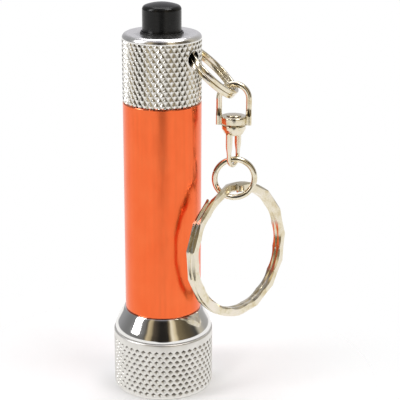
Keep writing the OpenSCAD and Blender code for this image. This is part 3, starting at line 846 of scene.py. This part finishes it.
def cut_section(a, width, thickness, cuts):
    """A flat bar's section whose four edges are scooped in turn, as on a diamond-cut key ring."""
    w, h = width / 2, thickness / 2
    outer, inner = scoop(a, cuts), scoop(a, cuts, 0.5)
    out_c, in_c = 0.14 + 0.36 * outer, 0.12 + 0.30 * inner
    slim = w - 0.05 * outer
    return [(-w + in_c, -h), (slim - out_c, -h), (slim, -h + out_c * 0.8), (slim, h - out_c * 0.8),
            (slim - out_c, h), (-w + in_c, h), (-w, h - in_c * 0.8), (-w, -h + in_c * 0.8)]


def small_ring(material):
    """The small split ring, through the cap's two side holes and sloping down to the bow."""
    hinge, bow = pivot("ring_swing"), pivot("bow_swing")
    reach = math.hypot(hinge.x, hinge.y)
    tip = math.hypot(math.hypot(bow.x, bow.y) - reach, hinge.z - bow.z)
    wire, radius, ends = 0.85, 5.9, math.radians(200)
    place = Matrix.Rotation(CHAIN_AZIMUTH, 4, "Z") @ Matrix.Translation((reach, 0, hinge.z))
    place = place @ Matrix.Rotation(SPLIT_SLOPE, 4, "Y") @ Matrix.Translation((tip - radius, 0, 0))
    place = place @ Matrix.Rotation(ends, 4, "Z")
    section = rod_section(wire, wire, wire * 0.25, 4)
    part = split_coil(radius, wire, wire, lambda a: section)
    make_piece("small_ring", part, "small_ring", ["split_ring"], material, place=place)


def swivel_bow(material):
    """The bow: round wire over the arch, pressed flat into square ears beside the disc."""
    low, high = extent("swivel_bow")
    wire, ear_w, half = 1.15, 1.7, 2.85
    ear_top, ear_ease, squareness = low.z + 2.9, 0.9, 0.55
    disc_z = pivot("swivel_turn").z
    disc_top, disc_r, disc_hole_r = disc_z + 1.4, 2.55, 1.05
    stations = []
    for point, across in hairpin(half, low.z, high.z - wire / 2 - half, 0, 12, 40):
        flat = eased(clamp((ear_top - point.z) / ear_ease))
        power, depth = 1 - squareness * flat, wire + (ear_w - wire) * flat
        section = [(math.copysign(abs(c) ** power, c) * wire / 2,
                    math.copysign(abs(s) ** power, s) * depth / 2) for c, s in round_section(2)]
        stations.append(on_line(point, across, Vector((0, 1, 0)), section))
    outline = [(disc_hole_r, disc_z), (disc_r, disc_z), (disc_r, disc_top), (disc_hole_r, disc_top)]
    disc = lathe(rounded(outline, [0.05, 0.18, 0.3, 0.1], 6), 96)
    make_piece("bow", joined(skin(stations), disc), "bow", ["swivel_bow"], material,
               sharp=45, place=chain_frame(0))


def swivel_eye(material):
    """The eye: a turned collar that narrows into a cup, and a strap bent into a loop."""
    low, high = extent("swivel_eye")
    top = high.z
    collar_r, collar_h, cup_r, cup_h = 2.35, 0.75, 1.65, 1.2
    pocket_r, pocket_h = 1.02, 0.9
    strap_t, strap_w, limb_w, loop_r = 0.8, 0.78, 1.3, 1.7
    cup_z = top - collar_h - cup_h
    bend_z = low.z + loop_r + strap_t / 2
    outline = [(0, cup_z), (cup_r, cup_z), (cup_r + 0.25, cup_z + 0.35), (collar_r, cup_z + cup_h)]
    outline += [(collar_r, top), (pocket_r, top), (pocket_r, top - pocket_h), (0, top - pocket_h)]
    turned = lathe(rounded(outline, [0, 0.25, 0.2, 0.12, 0.2, 0.04, 0, 0]), 80, closed=False)
    stations = []
    for point, across in hairpin(loop_r, cup_z + 0.3, bend_z, math.pi, 8, 32):
        wide = eased(clamp((point.z - bend_z - 0.6) / 2.0))
        section = rod_section(strap_t, strap_w + (limb_w - strap_w) * wide, 0.36, 4)
        stations.append(on_line(point, across, Vector((0, 1, 0)), section))
    make_piece("eye", joined(turned, skin(stations)), "swivel", ["swivel_eye"], material,
               sharp=45, place=chain_frame(0) @ Matrix.Rotation(EYE_YAW, 4, "Z"))


def rivet(material):
    """The rivet's shank and its domed head on the disc."""
    low, high = extent("swivel_rivet")
    head_r, shank_r, head_h, rim = 1.45, 1.0, 0.3, 0.06
    z = high.z - head_h
    outline = [(0, low.z), (shank_r, low.z), (shank_r, z), (head_r, z), (head_r, z + rim)]
    for degrees in range(15, 90, 15):
        a = math.radians(degrees)
        outline.append((head_r * math.cos(a), z + rim + (head_h - rim) * math.sin(a)))
    part = lathe(outline + [(0, high.z)], 64, closed=False)
    make_piece("rivet_head", part, "swivel", ["swivel_rivet"], material, place=chain_frame(0))


def jump_link(material):
    """The round ring, bent from wire, with its ends butted together."""
    top, bottom, bow = pivot("jump_ring_swing"), pivot("key_ring_swing"), pivot("bow_swing")
    shift = math.hypot(top.x, top.y) - math.hypot(bow.x, bow.y)
    radius = (top.z - bottom.z) / 2
    wire, gap, ends, steps = 1.15, math.radians(1.5), math.radians(160), 120
    place = chain_frame((top.z + bottom.z) / 2, shift) @ Matrix.Rotation(JUMP_YAW, 4, "Z")
    place = place @ Matrix.Rotation(UPRIGHT, 4, "X") @ Matrix.Rotation(ends, 4, "Z")
    section = round_section(wire)
    stations = []
    for k in range(steps + 1):
        a = (TURN - gap) * k / steps
        across = Vector((math.cos(a), math.sin(a), 0))
        stations.append(on_line(across * radius, across, Vector((0, 0, 1)), section))
    make_piece("jump_link", skin(stations), "jump_link", ["jump_ring"], material, place=place)


def key_loop(material):
    """The key ring: two turns of flat wire with shallow cuts across its edges."""
    low, high = extent("key_ring")
    width, thick, radius, ends = 1.8, 1.0, 12.6, math.radians(120)
    place = Matrix.Translation((low + high) / 2) @ Matrix.Rotation(CHAIN_AZIMUTH + KEY_YAW, 4, "Z")
    place = place @ Matrix.Rotation(UPRIGHT - KEY_LEAN, 4, "X") @ Matrix.Rotation(ends, 4, "Z")
    part = split_coil(radius, width, thick, lambda a: cut_section(a, width, thick, KEY_CUTS), steps=690)
    make_piece("key_loop", part, "key_loop", ["key_ring"], material, sharp=20, place=place)


# ---- Studio ----

def camera():
    """The photograph's view: a long lens a little above the torch."""
    distance, height = 0.230, 0.116109
    pitch, heading, roll = 0.324, 0.032, 0.005
    data = bpy.data.cameras.new("camera")
    data.lens, data.sensor_width = 110.55, 36
    data.clip_start = 0.01
    eye = placed("camera", data)
    turn = Matrix.Rotation(-heading, 4, "Z") @ Matrix.Rotation(math.pi / 2 - pitch, 4, "X")
    eye.matrix_world = Matrix.Translation((0, -distance, height)) @ turn @ Matrix.Rotation(roll, 4, "Z")
    bpy.context.scene.camera = eye


def softbox(name, azimuth, elevation, distance, width, height, radiance):
    """A soft rectangular light at an angle round the torch, where azimuth 0 is the camera's side."""
    data = bpy.data.lights.new(name, "AREA")
    data.shape, data.size, data.size_y = "RECTANGLE", width, height
    data.energy = radiance * math.pi * width * height
    light = placed(name, data)
    a, e = math.radians(azimuth), math.radians(elevation)
    aim = Vector((0, 0, 0.035))
    back = Vector((math.sin(a) * math.cos(e), -math.cos(a) * math.cos(e), math.sin(e)))
    light.location = aim + back * distance
    light.rotation_euler = back.to_track_quat("Z", "Y").to_euler()


# What stands round the torch, as it shows in polished metal: places in degrees from the camera's
# side, positive to the right, and the colour there
STUDIO_BAND = (
    (-180, (0.60, 0.595, 0.63)), (-140, (0.34, 0.34, 0.35)), (-96, (0.20, 0.20, 0.20)),
    (-52, (0.17, 0.165, 0.16)), (-46, (0.10, 0.09, 0.075)), (-40, (0.62, 0.50, 0.31)),
    (-33, (0.44, 0.35, 0.21)), (-26, (0.07, 0.055, 0.04)), (-6, (0.018, 0.016, 0.014)),
    (11, (0.022, 0.019, 0.016)), (17, (0.25, 0.19, 0.11)), (22, (0.92, 0.82, 0.62)),
    (31, (0.75, 0.62, 0.40)), (38, (0.20, 0.155, 0.085)), (66, (0.10, 0.08, 0.05)),
    (84, (0.07, 0.065, 0.055)), (96, (0.55, 0.50, 0.40)), (118, (0.40, 0.39, 0.37)),
    (180, (0.60, 0.595, 0.63)))
OVERHEAD = (0.52, 0.51, 0.56)
GROUND = (0.98, 0.97, 0.955)

# Heights, as sines, at which the walls give way to the ceiling and to the ground. Near the camera's
# side the walls reach further down, fully within the second angle and not beyond the first (radians)
CEILING_EDGE = (0.62, 0.92)
GROUND_EDGE = (-0.09, -0.14)
DARK_AHEAD = (0.42, 0.08)
DARK_AHEAD_DROP = 0.135


def between(nodes, links, value, low, high):
    """A socket's value as a share of the way from low to high, eased."""
    node = nodes.new("ShaderNodeMapRange")
    node.interpolation_type = "SMOOTHSTEP"
    node.inputs["From Min"].default_value = low
    node.inputs["From Max"].default_value = high
    links.new(value, node.inputs["Value"])
    return node.outputs["Result"]


def studio_world():
    """Surroundings by direction: a band of studio walls, a pale ceiling and a white sweep below."""
    world = bpy.data.worlds.new("studio")
    bpy.context.scene.world = world
    world.use_nodes = True
    nodes, links = world.node_tree.nodes, world.node_tree.links
    nodes.clear()

    def put(value, socket):
        """A number or colour set on a socket, or another socket linked to it."""
        if isinstance(value, bpy.types.NodeSocket):
            links.new(value, socket)
        else:
            socket.default_value = (*value, 1) if isinstance(value, tuple) else value

    def math_node(operation, *values):
        node = nodes.new("ShaderNodeMath")
        node.operation = operation
        for value, socket in zip(values, node.inputs):
            put(value, socket)
        return node.outputs[0]

    def mix(share, a, b):
        node = nodes.new("ShaderNodeMix")
        node.data_type = "RGBA"
        links.new(share, node.inputs["Factor"])
        put(a, node.inputs["A"])
        put(b, node.inputs["B"])
        return node.outputs["Result"]

    split = nodes.new("ShaderNodeSeparateXYZ")
    links.new(nodes.new("ShaderNodeTexCoord").outputs["Generated"], split.inputs[0])
    x, y, z = split.outputs
    azimuth = math_node("ARCTAN2", x, math_node("MULTIPLY", y, -1.0))
    band = nodes.new("ShaderNodeValToRGB")
    band.color_ramp.interpolation = "EASE"
    points = band.color_ramp.elements
    while len(points) < len(STUDIO_BAND):
        points.new(0.5)
    for point, (degrees, colour) in zip(points, STUDIO_BAND):
        point.position = degrees / 360 + 0.5
        point.color = (*colour, 1)
    links.new(math_node("ADD", math_node("MULTIPLY", azimuth, 1 / TURN), 0.5), band.inputs["Fac"])
    upper = mix(between(nodes, links, z, *CEILING_EDGE), band.outputs["Color"], OVERHEAD)
    ahead = between(nodes, links, math_node("ABSOLUTE", azimuth), *DARK_AHEAD)
    lowered = math_node("MULTIPLY_ADD", ahead, DARK_AHEAD_DROP, z)
    all_round = mix(between(nodes, links, lowered, *GROUND_EDGE), upper, GROUND)
    seen = mix(nodes.new("ShaderNodeLightPath").outputs["Is Camera Ray"], all_round, (1.0, 1.0, 1.0))
    shade = nodes.new("ShaderNodeBackground")
    links.new(seen, shade.inputs["Color"])
    links.new(shade.outputs[0], nodes.new("ShaderNodeOutputWorld").inputs["Surface"])


def floor_white():
    """The floor's material: pale, clear far from the torch and clear from below."""
    fade_start, fade_end = 0.012, 0.06
    s = Shader("floor", Roughness=0.9, Specular_IOR_Level=0.1)
    s.colour(s.ramp(s.noise(0.004, 2), (0.3, (0.95, 0.95, 0.95)), (0.7, (0.97, 0.97, 0.97))))
    nodes, links = s.nodes, s.links
    radius = nodes.new("ShaderNodeVectorMath")
    radius.operation = "LENGTH"
    links.new(s.space, radius.inputs[0])
    under = nodes.new("ShaderNodeMath")
    under.operation = "MAXIMUM"
    links.new(between(nodes, links, radius.outputs["Value"], fade_start, fade_end), under.inputs[0])
    links.new(nodes.new("ShaderNodeNewGeometry").outputs["Backfacing"], under.inputs[1])
    blend = nodes.new("ShaderNodeMixShader")
    links.new(under.outputs[0], blend.inputs["Fac"])
    links.new(s.bsdf.outputs[0], blend.inputs[1])
    links.new(nodes.new("ShaderNodeBsdfTransparent").outputs[0], blend.inputs[2])
    links.new(blend.outputs[0], nodes["Material Output"].inputs["Surface"])
    return s.material


def floor():
    """A pale floor that fades into the white surroundings, and hides nothing from below."""
    size = 900
    verts, faces = lathe([(0, 0), (size, 0)], 96, closed=False)
    mesh = mesh_from("floor", verts, [tuple(reversed(f)) for f in faces])
    if mesh.polygons[0].normal.z < 0:
        mesh.flip_normals()
    mesh.materials.append(floor_white())
    piece = placed("floor", mesh)
    piece.visible_diffuse = piece.visible_glossy = piece.visible_transmission = piece.visible_shadow = False


def studio():
    """Camera, surroundings, lights and floor."""
    camera()
    studio_world()
    softbox("left_box", azimuth=-73, elevation=30, distance=0.60, width=0.19, height=0.42, radiance=6.0)
    softbox("right_box", azimuth=62, elevation=62, distance=0.60, width=0.26, height=0.20, radiance=7.0)
    softbox("top_box", azimuth=178, elevation=72, distance=0.80, width=0.60, height=0.40, radiance=3.2)
    floor()
    bpy.context.scene.view_settings.view_transform = "Standard"


# ---- Putting it together ----

def as_packed(material, *nodes):
    """Gives a material to CAD nodes that keep their own shape."""
    for node in nodes:
        for slot in frame["nodes"][node].material_slots:
            slot.material = material


def main():
    """The studio, the pieces, and the materials of the CAD nodes that are shown as they are."""
    studio()
    nickel, black = nickel_wire(), black_plastic("black_plastic")
    steel = metal("spring_steel", (0.72, 0.72, 0.70), (0.55, 0.55, 0.54), 0.28)
    brass = metal("contact_brass", (0.86, 0.66, 0.33), (0.72, 0.52, 0.24), 0.28)
    can = metal("cell_steel", (0.80, 0.80, 0.81), (0.66, 0.66, 0.68), 0.22)
    solder = metal("solder", (0.78, 0.78, 0.79), (0.60, 0.60, 0.62), 0.20)
    cups = metal("reflector_chrome", (0.93, 0.93, 0.94), (0.88, 0.88, 0.89), 0.08)
    rubber = moulded("black_rubber", (0.030, 0.030, 0.030), (0.016, 0.016, 0.017), 0.62)
    board = moulded("board_white", (0.88, 0.89, 0.88), (0.80, 0.82, 0.80), 0.45)
    sleeve = moulded("sleeve_plastic", (0.86, 0.86, 0.83), (0.76, 0.76, 0.74), 0.40)
    rotor = moulded("rotor_plastic", (0.83, 0.83, 0.79), (0.75, 0.75, 0.71), 0.40)
    phosphor = moulded("led_phosphor", (0.95, 0.80, 0.20), (0.85, 0.68, 0.12), 0.55)
    epoxy = clear_glass("led_epoxy", (0.96, 0.98, 1.0), 1.53, 0.02)

    bezel(satin_chrome())
    bell(mirror_chrome())
    front_glass(clear_glass("lens_clear", (0.95, 0.98, 0.98), 1.49, 0.01))
    reflector(cups)
    led_bodies(epoxy, steel, phosphor)
    barrel(orange_anodised())
    cap(bright_chrome())
    push_button(black_plastic("button_plastic", 0.007, 0.22))
    collar(black)
    for link in (small_ring, swivel_bow, swivel_eye, rivet, jump_link, key_loop):
        link(nickel)

    as_packed(rubber, "lens_seal", "front_o_ring", "tail_o_ring")
    as_packed(board, "led_board")
    as_packed(solder, "solder_joints")
    as_packed(steel, "front_spring", "tail_spring", "return_spring")
    as_packed(sleeve, "battery_sleeve")
    as_packed(can, "cell_1", "cell_2", "cell_3", "cell_4")
    as_packed(black, "resistor", "switch_housing", "switch_base")
    as_packed(brass, "contact_rivet", "earth_clip", "contact_disc")
    as_packed(rotor, "switch_rotor")


main()

bpy.context.view_layer.update()
